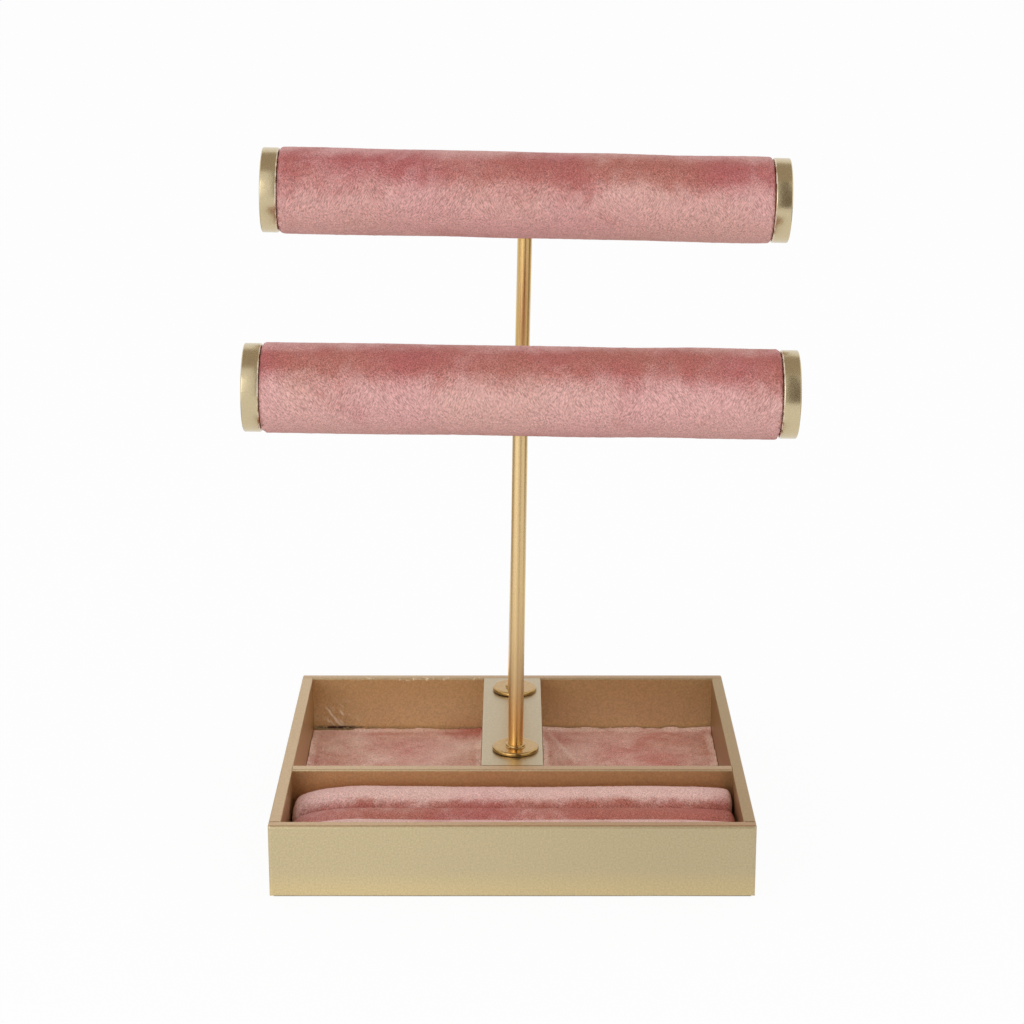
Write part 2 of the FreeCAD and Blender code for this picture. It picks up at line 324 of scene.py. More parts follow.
shade = calculate(velvet_pile, "MULTIPLY_ADD", crisp, depth, 1.0)
hue = ramp(velvet_pile, tones, *hue_drift)
toned = put(velvet_pile, "ShaderNodeHueSaturation", {"Hue": hue, "Value": shade, "Color": body})
fill(velvet_pile, gives, {"Colour": toned.outputs[0], "Height": fibres})
print("velvet pile:", len(velvet_pile.nodes), "nodes")

# %% [markdown]
# Three velvets
#
# The bars, the rolls and the liners are the same rose velvet, but the liners lie deep between gold boards
# and look browner. One function makes all three from the group. Sheen gives the pale rim where the pile is
# seen from the side, and it stays a plain number on the shader, so that it survives the export.

# %% The velvets
pile_bump_height = 0.35 * mm
pile_bump_strength = 0.8
pile_roughness = 0.9
pile_gloss = 0.1
sheen_roughness = 0.45
sheen_tint = painted(236, 205, 198)


def new_material(name):
    """An empty node material and its Principled shader, already linked to the output."""
    material = bpy.data.materials.new(name)
    material.use_nodes = True
    material.node_tree.nodes.clear()
    shader = put(material.node_tree, "ShaderNodeBsdfPrincipled")
    put(material.node_tree, "ShaderNodeOutputMaterial", {"Surface": shader.outputs[0]})
    return material, material.node_tree, shader


def object_place(tree):
    """The place of a point in the object's own coordinates."""
    return put(tree, "ShaderNodeTexCoord").outputs["Object"]


def velvet(name, full, pale, patchy, fibre, sheen):
    """Velvet that reads the lie of its pile, with the painted light stored in it, from the piece's own
    attribute.
    """
    material, tree, shader = new_material(name)
    lie = put(tree, "ShaderNodeAttribute", attribute_name="lie").outputs["Fac"]
    pile = put(tree, "ShaderNodeGroup", {
        "Place": object_place(tree), "Lie": lie, "Full": full, "Pale": pale, "Patchy": patchy, "Fibre": fibre,
    }, node_tree=velvet_pile)
    fill(tree, shader, {
        "Base Color": pile.outputs["Colour"], "Roughness": pile_roughness, "Specular IOR Level": pile_gloss,
        "Normal": bumpy(tree, pile.outputs["Height"], pile_bump_height, pile_bump_strength),
        "Sheen Weight": sheen, "Sheen Roughness": sheen_roughness, "Sheen Tint": sheen_tint,
    })
    return material


bar_velvet = velvet("bar velvet", full=painted(180, 105, 100), pale=painted(220, 169, 164),
                    patchy=0.9, fibre=0.68, sheen=0.2)
roll_velvet = velvet("roll velvet", full=painted(182, 107, 98), pale=painted(230, 188, 180),
                     patchy=0.9, fibre=0.6, sheen=0.08)
liner_velvet = velvet("liner velvet", full=painted(204, 129, 114), pale=painted(247, 211, 196),
                      patchy=0.7, fibre=0.7, sheen=0.08)
print("three velvets")

# %% [markdown]
# Handling marks and a painted shadow
#
# The tray isn't spotless: something scraped the back wall of the left compartment, and a few specks of paint
# sit along the back rim. Below the scrape a dark line is painted on the wall, a painted shadow of the gap
# where the liner meets it. A group gives a mask that fades out from a centre and is broken into grains by
# noise.

# %% The mark and shadow group
grain_border = 0.15
full_within = 0.3

mark_and_shadow_group, asks, gives = new_group(
    "mark and shadow",
    {"Place": "Vector", "Grain Place": "Vector", "Centre": "Vector", "Reach": "Vector", "Least": "Float"},
    {"Mask": "Float"},
)
offset = asks["Place"]
for operation, other in (("SUBTRACT", asks["Centre"]), ("DIVIDE", asks["Reach"])):
    offset = put(mark_and_shadow_group, "ShaderNodeVectorMath", {0: offset, 1: other}, operation=operation).outputs[0]
far = put(mark_and_shadow_group, "ShaderNodeVectorMath", {0: offset}, operation="LENGTH").outputs["Value"]
grains = cloudiness(mark_and_shadow_group, asks["Grain Place"], 1.0, 2.0)
most = calculate(mark_and_shadow_group, "ADD", asks["Least"], grain_border)
grainy = ramp(mark_and_shadow_group, grains, asks["Least"], most)
mask = calculate(mark_and_shadow_group, "MULTIPLY", ramp(mark_and_shadow_group, far, 1.0, full_within), grainy)
fill(mark_and_shadow_group, gives, {"Mask": mask})
print("mark and shadow:", len(mark_and_shadow_group.nodes), "nodes")

# %% [markdown]
# Champagne-gold paint
#
# The boards are sprayed with a satin paint full of fine metal flakes, and the caps have the same paint on
# turned wood. A plain metal would look like sheet brass, so the group varies the colour flake by flake and
# in broad faint clouds, roughens the gloss where the spray was dry, and gives a faint orange-peel height.
# It also paints light from the bright floor onto the lowest few millimetres, as a lighter, warmer tint.

# %% The metallic paint group
flakes_per_metre = 1250.0
floor_light_top = 14.0 * mm
floor_light_full = 3.0 * mm
floor_light_tint = (1.12, 1.08, 0.98, 1)
spray_clouds_per_metre = 26.0
peel_per_metre = 420.0
plain_level = 0.95
cloud_level = 0.06
cloud_roughness = 0.1
flake_roughness = 0.08
flake_height = 0.4

metallic_paint, asks, gives = new_group(
    "metallic paint",
    {"Place": "Vector", "Paint": "Color", "Flake": "Float", "Gloss": "Float"},
    {"Colour": "Color", "Roughness": "Float", "Height": "Float"},
)
flakes = cloudiness(metallic_paint, asks["Place"], flakes_per_metre, 2.0, 0.7)
clouds = cloudiness(metallic_paint, asks["Place"], spray_clouds_per_metre, 3.0)
peel = cloudiness(metallic_paint, asks["Place"], peel_per_metre, 1.0)
bright = calculate(metallic_paint, "SUBTRACT", flakes, 0.5)
level = calculate(metallic_paint, "MULTIPLY_ADD", bright, asks["Flake"], plain_level)
level = calculate(metallic_paint, "MULTIPLY_ADD", clouds, cloud_level, level)
# Near the floor the colour is painted lighter and warmer: painted light from the bright floor.
up = put(metallic_paint, "ShaderNodeSeparateXYZ", {0: asks["Place"]}).outputs["Z"]
foot = ramp(metallic_paint, up, floor_light_top, floor_light_full)
base = mix_colours(metallic_paint, foot, asks["Paint"], floor_light_tint, "MULTIPLY")
tint = put(metallic_paint, "ShaderNodeHueSaturation", {"Value": level, "Color": base})
smooth = calculate(metallic_paint, "SUBTRACT", asks["Gloss"], cloud_roughness / 2)
dry = calculate(metallic_paint, "MULTIPLY_ADD", clouds, cloud_roughness, smooth)
dry = calculate(metallic_paint, "MULTIPLY_ADD", flakes, flake_roughness, dry)
height = calculate(metallic_paint, "MULTIPLY_ADD", flakes, flake_height, peel)
fill(metallic_paint, gives, {"Colour": tint.outputs[0], "Roughness": dry, "Height": height})
print("metallic paint:", len(metallic_paint.nodes), "nodes")

# %% [markdown]
# Painted light inside the tray
#
# Inside the tray the paint gets painted light. The walls there are browner for the warm light that the gold
# and the rose velvet throw on each other, and darker for the shade. The back walls are lighter low down,
# against their shade. Rims and walls are darker on the right, where less light falls. This group gives masks
# for that: inside the walls, on their rims, deep down and to the right. The inside mask also takes some
# metal out of the back board's paint.

# %% The spray and shade mask group
inside_border = (-0.3 * mm, -1.2 * mm)
wall_border = (0.4 * mm, 0.1 * mm)
rim_border = (-0.5 * mm, -0.1 * mm)
deep_border = (-1.0 * mm, -25.0 * mm)
side_border = (-0.9, 0.9)

spray_and_shade_masks, asks, gives = new_group(
    "spray and shade masks",
    {"Place": "Vector", "Walls": "Vector"},
    {"Mask": "Float", "Rim": "Float", "Right": "Float", "Deep": "Float"},
)
place = put(spray_and_shade_masks, "ShaderNodeSeparateXYZ", {0: asks["Place"]}).outputs
walls = put(spray_and_shade_masks, "ShaderNodeSeparateXYZ", {0: asks["Walls"]}).outputs
above = calculate(spray_and_shade_masks, "SUBTRACT", place["Z"], walls["Z"])
across = calculate(spray_and_shade_masks, "DIVIDE", place["X"], walls["X"])
within = ramp(spray_and_shade_masks, above, *inside_border)
for side in ("X", "Y"):
    past_wall = calculate(spray_and_shade_masks, "SUBTRACT", calculate(spray_and_shade_masks, "ABSOLUTE", place[side]), walls[side])
    within = calculate(spray_and_shade_masks, "MULTIPLY", within, ramp(spray_and_shade_masks, past_wall, *wall_border))
fill(spray_and_shade_masks, gives, {
    "Mask": within, "Rim": ramp(spray_and_shade_masks, above, *rim_border), "Deep": ramp(spray_and_shade_masks, above, *deep_border),
    "Right": ramp(spray_and_shade_masks, across, *side_border),
})
inner_walls = Vector((-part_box("left_board")[1].x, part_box("back_board")[0].y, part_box("back_board")[1].z))
print("spray and shade masks:", len(spray_and_shade_masks.nodes), "nodes")

# %% A function for the paint, and the paints
highlight_breaks_per_metre = 300.0
highlight_break_border = (0.35, 0.6)
highlight_dullness = 0.8
mark_roughness = 0.25
peel_height = 0.05 * mm
peel_strength = 0.5
lacquer = 0.15
lacquer_roughness = 0.15
def gold_paint(name, colour, flake, gloss, inside=None, rim=None, dryness=0.0, marks=(), edge_highlight=None):
    """Satin metallic paint: painted light inside and on the rim, duller where dry, a painted edge highlight,
    marks.
    """
    material, tree, shader = new_material(name)
    place = object_place(tree)
    coat = put(tree, "ShaderNodeGroup", {
        "Place": place, "Paint": colour, "Flake": flake, "Gloss": gloss}, node_tree=metallic_paint)
    skin, rough, metal = coat.outputs["Colour"], coat.outputs["Roughness"], 1.0
    # Inside and on the rim the colour is multiplied by painted light: lighter left, darker right, browner and
    # shaded inside.
    if inside:
        spray = put(tree, "ShaderNodeGroup", {
            "Place": place, "Walls": inner_walls}, node_tree=spray_and_shade_masks).outputs
        side_tint = mix_colours(tree, spray["Right"], lit_left_tint, shaded_right_tint)
        skin = mix_colours(tree, 1.0, skin, side_tint, "MULTIPLY")
        skin = mix_colours(tree, spray["Mask"], skin, mix_colours(tree, spray["Deep"], *inside), "MULTIPLY")
    if rim:
        skin = mix_colours(tree, spray["Rim"], skin, mix_colours(tree, spray["Right"], *rim), "MULTIPLY")
    if dryness:
        metal = calculate(tree, "MULTIPLY_ADD", spray["Mask"], -dryness, metal)
    # A pale, dull band along the cap's inner edge, broken by noise: a painted highlight of the line of light
    # that edge catches.
    if edge_highlight:
        edge = put(tree, "ShaderNodeAttribute", attribute_name="edge_highlight").outputs["Fac"]
        highlight_breaks = cloudiness(tree, place, highlight_breaks_per_metre, 2.0)
        edge = calculate(tree, "MULTIPLY", edge, ramp(tree, highlight_breaks, *highlight_break_border))
        skin = mix_colours(tree, edge, skin, edge_highlight)
        metal = calculate(tree, "MULTIPLY_ADD", edge, -highlight_dullness, metal)
    # The marks are scrapes, specks and a painted shadow, each mixed over the paint.
    for centre, reach, grain, slant, least, tone in marks:
        grain_place = put(tree, "ShaderNodeMapping", {
            "Vector": place, "Rotation": (0.0, slant, 0.0), "Scale": grain}, vector_type="TEXTURE").outputs[0]
        mark = put(tree, "ShaderNodeGroup", {
            "Place": place, "Grain Place": grain_place, "Centre": centre, "Reach": reach, "Least": least,
        }, node_tree=mark_and_shadow_group).outputs["Mask"]
        skin = mix_colours(tree, mark, skin, tone)
        rough = calculate(tree, "MULTIPLY_ADD", mark, mark_roughness, rough)
        metal = calculate(tree, "SUBTRACT", metal, mark)
    if dryness or marks or edge_highlight:
        metal = calculate(tree, "MAXIMUM", metal, 0.0)
    fill(tree, shader, {
        "Base Color": skin, "Roughness": rough, "Metallic": metal, "Coat Weight": lacquer,
        "Coat Roughness": lacquer_roughness,
        "Normal": bumpy(tree, coat.outputs["Height"], peel_height, peel_strength),
    })
    return material


board_paint = painted(200, 183, 145)
board_flake = 0.6
back_flake = 0.75
plinth_paint = painted(188, 171, 139)
board_gloss = 0.46
plinth_gloss = 0.33
# These tints are painted light and shade: lighter on the left and darker on the right as the light falls off,
# inside faces browner for warm reflected light and shade, the right board's a shaded copy, and the back walls
# lighter low down against their shade.
lit_left_tint = (1.06, 1.07, 1.08, 1)
shaded_right_tint = (0.93, 0.93, 0.935, 1)
inside_tints = ((0.9, 0.765, 0.655, 1), (0.9, 0.765, 0.655, 1))
divider_tints = ((1.08, 0.86, 0.72, 1), (1.0, 0.76, 0.63, 1))
shaded_tints = ((0.75, 0.605, 0.5, 1), (0.75, 0.605, 0.5, 1))
back_tints = ((1.08, 0.89, 0.71, 1), (1.28, 1.21, 1.15, 1))
rim_tints = ((1.04, 0.93, 0.93, 1), (0.95, 0.77, 0.73, 1))
front_rims = ((1.02, 0.89, 0.86, 1), (0.9, 0.69, 0.6, 1))
back_rims = ((1.0, 0.88, 0.9, 1), (0.91, 0.74, 0.7, 1))
shaded_rims = ((0.8, 0.67, 0.55, 1), (0.8, 0.67, 0.55, 1))
back_dryness = 0.25
cap_paint = painted(206, 189, 152)
cap_flake = 0.25
cap_gloss = 0.22
# The colour of the painted highlight on the caps' inner edge.
edge_highlight_colour = painted(238, 224, 200)
board_gold = gold_paint("board gold", board_paint, board_flake, board_gloss, inside_tints, rim_tints)
plinth_gold = gold_paint("plinth gold", plinth_paint, board_flake, plinth_gloss, inside_tints)
right_gold = gold_paint("right board gold", board_paint, board_flake, board_gloss, shaded_tints, shaded_rims)
front_gold = gold_paint("front board gold", board_paint, board_flake, board_gloss, inside_tints, front_rims)
divider_gold = gold_paint("divider gold", board_paint, board_flake, board_gloss, divider_tints, rim_tints)
cap_gold = gold_paint("cap gold", cap_paint, cap_flake, cap_gloss, edge_highlight=edge_highlight_colour)
print("gold paint for boards, plinth and caps")

# %% [markdown]
# Brass
#
# The rods were ground round and then lacquered. The marks of the grinding run round the rod, so they spread
# a reflection up and down and keep it sharp from side to side, which draws the long stripes on such rods.
# Anisotropy does that, turned by a quarter. Towards the foot the brass is painted a brighter, warmer gold,
# a painted reflection of the gold tray around it. The rear rod is a little redder than the front one. The
# flanges were turned on a lathe and are plainer.

# %% The brushed metal group
duller_on_marks = 0.6

brushed_metal, asks, gives = new_group(
    "brushed metal",
    {"Place": "Vector", "Metal": "Color", "Gloss": "Float", "Marks": "Float"},
    {"Colour": "Color", "Roughness": "Float", "Height": "Float"},
)
lines = cloudiness(brushed_metal, asks["Place"], 1.0, 3.0, 0.65)
centred = calculate(brushed_metal, "SUBTRACT", lines, 0.5)
level = calculate(brushed_metal, "MULTIPLY_ADD", centred, asks["Marks"], 1.0)
tint = put(brushed_metal, "ShaderNodeHueSaturation", {"Value": level, "Color": asks["Metal"]})
duller = calculate(brushed_metal, "MULTIPLY", asks["Marks"], duller_on_marks)
rough = calculate(brushed_metal, "MULTIPLY_ADD", centred, duller, asks["Gloss"])
fill(brushed_metal, gives, {"Colour": tint.outputs[0], "Roughness": rough, "Height": lines})
print("brushed metal:", len(brushed_metal.nodes), "nodes")

# %% Brass and zinc
# The rod's foot colour is a painted reflection of the gold tray around it.
rod_reflection_top = 72.0 * mm
rod_reflection_full = 40.0 * mm
rod_foot_reflection = painted(244, 200, 126)
rod_colours = {"front_post": painted(219, 190, 140), "rear_post": painted(217, 183, 123)}
mark_height = 0.03 * mm
quarter_turn = 0.25


def brushed(name, colour, gloss, marks, marks_per_metre, ground_round=0.0, foot=None):
    """Metal with fine marks, as many per metre as given along x, y and z. Ground round, it blurs along z."""
    material, tree, shader = new_material(name)
    place = object_place(tree)
    # Painted reflection: the colour turns to the foot colour towards the foot.
    if foot:
        up = put(tree, "ShaderNodeSeparateXYZ", {0: place}).outputs["Z"]
        colour = mix_colours(tree, ramp(tree, up, rod_reflection_top, rod_reflection_full), colour, foot)
    finer = put(tree, "ShaderNodeMapping", {"Vector": place, "Scale": marks_per_metre}).outputs[0]
    finish = put(tree, "ShaderNodeGroup", {
        "Place": finer, "Metal": colour, "Gloss": gloss, "Marks": marks}, node_tree=brushed_metal).outputs
    fill(tree, shader, {
        "Base Color": finish["Colour"], "Roughness": finish["Roughness"], "Metallic": 1.0,
        "Normal": bumpy(tree, finish["Height"], mark_height, marks),
        "Anisotropic": ground_round, "Anisotropic Rotation": quarter_turn,
    })
    return material


rod_brass = {}
for post, colour in rod_colours.items():
    rod_brass[post] = brushed(post + " brass", colour, gloss=0.26, marks=0.03,
                              marks_per_metre=(200, 200, 700), ground_round=0.92, foot=rod_foot_reflection)
flange_brass = brushed("flange brass", painted(182, 147, 92), gloss=0.16, marks=0.7,
                       marks_per_metre=(800, 800, 800))
zinc = brushed("zinc plate", painted(190, 192, 195), gloss=0.35, marks=0.2, marks_per_metre=(700, 700, 700))
print(len(rod_brass) + 2, "metals")

# %% [markdown]
# Plain stuffs
#
# Card, foam, felt and raw wood are hardly seen, but the part is looked at from all sides and taken apart.
# Each is a matt surface whose colour and height follow one noise, stretched for the wood's grain.

# %% Card, foam, felt and wood
matt_bump_strength = 0.7
matt_roughness = (0.2, 0.8, 0.8, 0.95)


def matt_stuff(name, colour, spread, marks_per_metre, bump_height):
    """A matt material that one noise mottles, with marks as fine as given along x, y and z."""
    material, tree, shader = new_material(name)
    finer = put(tree, "ShaderNodeMapping", {"Vector": object_place(tree), "Scale": marks_per_metre})
    marks = cloudiness(tree, finer.outputs[0], 1.0, 4.0, 0.6)
    level = calculate(tree, "MULTIPLY_ADD", calculate(tree, "SUBTRACT", marks, 0.5), spread, 1.0)
    tint = put(tree, "ShaderNodeHueSaturation", {"Value": level, "Color": colour})
    fill(tree, shader, {
        "Base Color": tint.outputs[0], "Roughness": ramp(tree, marks, *matt_roughness),
        "Normal": bumpy(tree, marks, bump_height, matt_bump_strength),
    })
    return material


# The card is made dark brown so that, where it shows in the gap behind the left liner, it reads as shade.
card = matt_stuff("card dark as shade", painted(84, 62, 48), 0.3, (300, 300, 900), bump_height=0.1 * mm)
foam = matt_stuff("open foam", painted(226, 220, 204), 0.35, (900, 900, 900), bump_height=0.5 * mm)
felt = matt_stuff("dark felt", painted(66, 58, 54), 0.8, (1100, 1100, 1100), bump_height=0.3 * mm)
wood = matt_stuff("raw wood", painted(206, 174, 130), 0.4, (60, 900, 900), bump_height=0.1 * mm)
print("four plain stuffs")

# %% Give the CAD nodes that stay their finish
boards = ["front_board", "back_board", "left_board", "right_board", "bottom_board", "divider_board"]
boards += ["plinth_top", "plinth_left_cheek", "plinth_right_cheek"]
posts = ("front_post", "rear_post")
bars = ("lower_bar", "upper_bar")
finishes = {node: board_gold for node in boards}
back_low, back_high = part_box("back_board")
left_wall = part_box("left_board")[1].x
scratch_grain = (7.0 * mm, 1.5 * mm, 1.6 * mm)
speck_grain = (1.7 * mm, 1.7 * mm, 1.7 * mm)
scrape_place = Vector((left_wall + 12 * mm, back_low.y, 13 * mm))
scrape_reach = (14 * mm, 5 * mm, 11 * mm)
scrape = (scrape_place, scrape_reach, scratch_grain, math.radians(52), 0.5, painted(242, 226, 200))
# A dark line along the foot of the back wall: a painted shadow of the gap behind the left liner.
gap_shadow_place = Vector((left_wall + 13 * mm, back_low.y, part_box("left_liner_velvet")[1].z))
gap_shadow_reach = (19 * mm, 3 * mm, 1.2 * mm)
gap_shadow_grain = (3.0 * mm, 3.0 * mm, 1.2 * mm)
gap_shadow = (gap_shadow_place, gap_shadow_reach, gap_shadow_grain, 0.0, 0.34, painted(78, 46, 36))
speck_place = Vector((-52 * mm, back_low.y, back_high.z))
speck_reach = (58 * mm, 2 * mm, 2 * mm)
specks = (speck_place, speck_reach, speck_grain, 0.0, 0.58, painted(250, 238, 208))
finishes["plinth_top"] = plinth_gold
finishes["front_board"] = front_gold
finishes["right_board"] = right_gold
finishes["divider_board"] = divider_gold
finishes["back_board"] = gold_paint("back board gold", board_paint, back_flake, board_gloss, back_tints,
                                    back_rims, back_dryness, (scrape, gap_shadow, specks))
for post in posts:
    finishes.update({post: rod_brass[post], post + "_washer": zinc, post + "_nut": zinc})
for bar in bars:
    finishes.update({bar + "_core": card, bar + "_socket": wood, bar + "_insert": flange_brass})
finishes.update({"left_liner_card": card, "right_liner_card": card, "ring_insert_card": card})
for node, finish in finishes.items():
    frame["nodes"][node].data.materials.clear()
    frame["nodes"][node].data.materials.append(finish)
print(len(finishes), "CAD nodes stay")

# %% [markdown]
# Tools for modelling
#
# An operator works on all that is selected, so each piece starts with nothing selected, and picking in edit
# mode always goes by where an edge or a face is. A finished piece is placed, and its place is then applied
# to the mesh.

# %% Helpers for modelling
def fresh_start():
    """Go to object mode with nothing selected."""
    if bpy.context.mode != "OBJECT":
        bpy.ops.object.mode_set(mode="OBJECT")
    bpy.ops.object.select_all(action="DESELECT")


def only(piece):
    """Select one piece and make it the active one."""
    fresh_start()
    piece.select_set(True)
    bpy.context.view_layer.objects.active = piece


def pick(kind, test):
    """In edit mode, select only the vertices, edges or faces that pass the test."""
    bpy.ops.mesh.select_mode(type=kind)
    bpy.ops.mesh.select_all(action="DESELECT")
    mesh = bmesh.from_edit_mesh(bpy.context.object.data)
    for element in {"VERT": mesh.verts, "EDGE": mesh.edges, "FACE": mesh.faces}[kind]:
        element.select_set(bool(test(element)))
    mesh.select_flush_mode()
    bmesh.update_edit_mesh(bpy.context.object.data)


def middle(element):
    """The middle of an edge or a face."""
    return sum((vertex.co for vertex in element.verts), Vector()) / len(element.verts)


def tidy_faces():
    """In edit mode, merge doubled points and turn every face outwards."""
    bpy.ops.mesh.select_all(action="SELECT")
    bpy.ops.mesh.remove_doubles(threshold=0.001 * mm)
    bpy.ops.mesh.normals_make_consistent(inside=False)


def apply_modifier(piece, kind, **settings):
    """Add a modifier to a piece, set it up and apply it."""
    only(piece)
    bpy.ops.object.modifier_add(type=kind)
    modifier = piece.modifiers[-1]
    for name, value in settings.items():
        setattr(modifier, name, value)
    bpy.ops.object.modifier_apply(modifier=modifier.name)


def set_down(piece, place):
    """Put a piece that was modelled at the origin in its place, and apply the place to the mesh."""
    only(piece)
    piece.matrix_world = place
    bpy.ops.object.transform_apply(location=True, rotation=True, scale=True)


def copy_of(piece, name):
    """A copy of a piece with a mesh of its own."""
    only(piece)
    bpy.ops.object.duplicate(linked=False)
    bpy.context.object.name = name
    return bpy.context.object


def dress(piece, finish, node, body):
    """Give a piece its finish, and let it stand for a CAD node on a body."""
    piece.data.materials.clear()
    piece.data.materials.append(finish)
    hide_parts(node)
    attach(piece, body)


# %% Where the posts and bars are
bar_place = {}
for joint in frame["joints"]:
    if joint["name"].endswith("_swivel"):
        axis = Vector(joint["axis"])
        turn = Matrix.Rotation(math.atan2(axis.x, axis.z), 4, "Y")
        bar_place[joint["name"].removesuffix("_swivel")] = Matrix.Translation(joint["pos_m"]) @ turn


def own_box(node, place):
    """A CAD node's lowest and highest corners in the upright frame of its own bar or post."""
    points = [place.inverted() @ vertex.co for vertex in frame["nodes"][node].data.vertices]
    return Vector(map(min, *points)), Vector(map(max, *points))


rim_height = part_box("front_board")[1].z
post_place = {}
for post, bar in zip(posts, bars):
    low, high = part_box(post + "_flange")
    axis = bar_place[bar].to_3x3() @ Vector((0, 0, 1))
    foot_height = rim_height + (high.y - low.y) / 2 * axis.x
    top = bar_place[bar].translation
    foot = top - axis * ((top.z - foot_height) / axis.z)
    post_place[post] = Matrix.Translation(foot) @ bar_place[bar].to_3x3().to_4x4()
    print(post, "stands at", [round(value / mm, 2) for value in foot])

# %% [markdown]
# Turned pieces
#
# The end caps and the flanges are round, turned on a lathe. Spin could sweep a profile round an axis, but
# extruding a ring step by step and resizing it at each step works the way a turner does, and leaves clean
# rings to smooth.

# %% A helper for turned pieces
ring_points = 96


def turned(name, profile, bored=False):
    """Turn a piece round the z axis from (radius, height) steps. A bored piece's profile closes on itself."""
    fresh_start()
    (radius, height), *steps = profile
    bpy.ops.mesh.primitive_circle_add(vertices=ring_points, radius=radius, location=(0, 0, height))
    piece = bpy.context.object
    piece.name = name
    bpy.ops.object.transform_apply(location=True, rotation=False, scale=False)
    bpy.ops.object.mode_set(mode="EDIT")
    bpy.ops.mesh.select_mode(type="EDGE")
    bpy.ops.mesh.select_all(action="SELECT")
    for next_radius, next_height in steps:
        bpy.ops.mesh.extrude_edges_move(TRANSFORM_OT_translate={"value": (0, 0, next_height - height)})
        factor = next_radius / radius
        bpy.ops.transform.resize(value=(factor, factor, 1), center_override=(0, 0, 0))
        radius, height = next_radius, next_height
    pick("EDGE", lambda edge: edge.is_boundary)
    if bored:
        bpy.ops.mesh.bridge_edge_loops()
    else:
        bpy.ops.mesh.fill_holes(sides=0)
    tidy_faces()
    bpy.ops.object.mode_set(mode="OBJECT")
    bpy.ops.object.shade_smooth_by_angle(angle=math.radians(40))
    return piece


def quarter_round(radius, height, size, from_degrees, to_degrees, steps=6):
    """Steps of a profile that follow an arc about the given point."""
    arc = []
    for step in range(steps + 1):
        angle = math.radians(from_degrees + (to_degrees - from_degrees) * step / steps)
        arc.append((radius + size * math.cos(angle), height + size * math.sin(angle)))
    return arc


# %% [markdown]
# End caps
#
# Each bar ends in a turned wooden cap, almost as wide as the velvet. A plain disc would do from afar, but
# the real cap has softly rounded edges, which catch a thin line of light, and a face that is domed a
# little. Its spigot goes into the bar's tube.

# %% The end caps
cap_low, cap_high = own_box("lower_bar_cap_right", bar_place["lower_bar"])
core_high = own_box("lower_bar_core", bar_place["lower_bar"])[1]
bar_half_length = cap_high.x
cap_radius = cap_high.y
cap_length = cap_high.x - core_high.x
spigot_length = core_high.x - cap_low.x
spigot_radius = 15.4 * mm
spigot_edge = 0.5 * mm
cap_edge = 0.6 * mm
cap_inner_edge = 0.7 * mm
cap_crown = 0.25 * mm
crown_rings = (0.8, 0.6, 0.4, 0.2, 0.03)
edge_highlight_width = 0.9 * cap_inner_edge
edge_highlight_past_spigot = 1.0 * mm

shoulder = cap_radius - cap_edge
face_height = cap_length - cap_crown
cap_profile = [(spigot_edge, -spigot_length), (spigot_radius - spigot_edge, -spigot_length)]
cap_profile += [(spigot_radius, -spigot_length + spigot_edge), (spigot_radius, 0)]
cap_profile += quarter_round(cap_radius - cap_inner_edge, cap_inner_edge, cap_inner_edge, -90, 0, 4)
cap_profile += quarter_round(shoulder, face_height - cap_edge, cap_edge, 0, 90)
cap_profile += [(shoulder * share, cap_length - cap_crown * share ** 2) for share in crown_rings]
first_cap = turned("cap pattern", cap_profile)
# The cap's inner rounded edge is marked for the painted highlight.
edge_highlight_marks = first_cap.data.attributes.new("edge_highlight", "FLOAT", "POINT")
for vertex in first_cap.data.vertices:
    on_edge = vertex.co.xy.length > spigot_radius + edge_highlight_past_spigot and vertex.co.z < edge_highlight_width
    edge_highlight_marks.data[vertex.index].value = float(on_edge)
for bar in bars:
    for side, sign in (("left", -1), ("right", 1)):
        cap = copy_of(first_cap, bar + "_cap_" + side + "_turned")
        outwards = Matrix.Rotation(sign * math.radians(90), 4, "Y")
        seat = Matrix.Translation((sign * (bar_half_length - cap_length), 0, 0))
        set_down(cap, bar_place[bar] @ seat @ outwards)
        dress(cap, cap_gold, bar + "_cap_" + side, bar)
bpy.data.objects.remove(first_cap)
print("four caps of", len(cap_profile), "rings")

# %% [markdown]
# Flanges
#
# Each rod stands on a loose brass flange: a thin disc with a rounded rim and a small bead where the rod
# goes through. It is turned like the caps, but round a bore, so its profile closes on itself.

# %% The flanges
rod_radius = own_box("front_post", post_place["front_post"])[1].y
flange_fit = 0.05 * mm
hub_radius = rod_radius + 1.2 * mm
rim_round = 0.95 * mm
rim_foot = 0.3 * mm
flange_thickness = 1.8 * mm
web = flange_thickness - flange_fit
web_edge = 0.9 * mm
hub_flare = 0.35 * mm
hub_flare_height = 0.3 * mm
hub_height = 1.1 * mm
bead = 0.6 * mm

for post in posts:
    low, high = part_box(post + "_flange")
    rim_centre = (high.y - low.y) / 2 - rim_round
    bore = rod_radius + flange_fit
    profile = [(bore, 0)]
    profile += quarter_round(rim_centre + rim_round - rim_foot, rim_foot, rim_foot, -90, 0, 3)
    profile += quarter_round(rim_centre, web - rim_round, rim_round, 0, 90, 8)
    profile += [(rim_centre - web_edge, web), (hub_radius + hub_flare, web)]
    profile += [(hub_radius, web + hub_flare_height)]
    profile += quarter_round(hub_radius - bead, web + hub_height - bead, bead, 20, 90)
    profile += [(bore, web + hub_height)]
    flange = turned(post + "_flange_turned", profile, bored=True)
    set_down(flange, post_place[post])
    dress(flange, flange_brass, post + "_flange", "base")
print("two flanges")

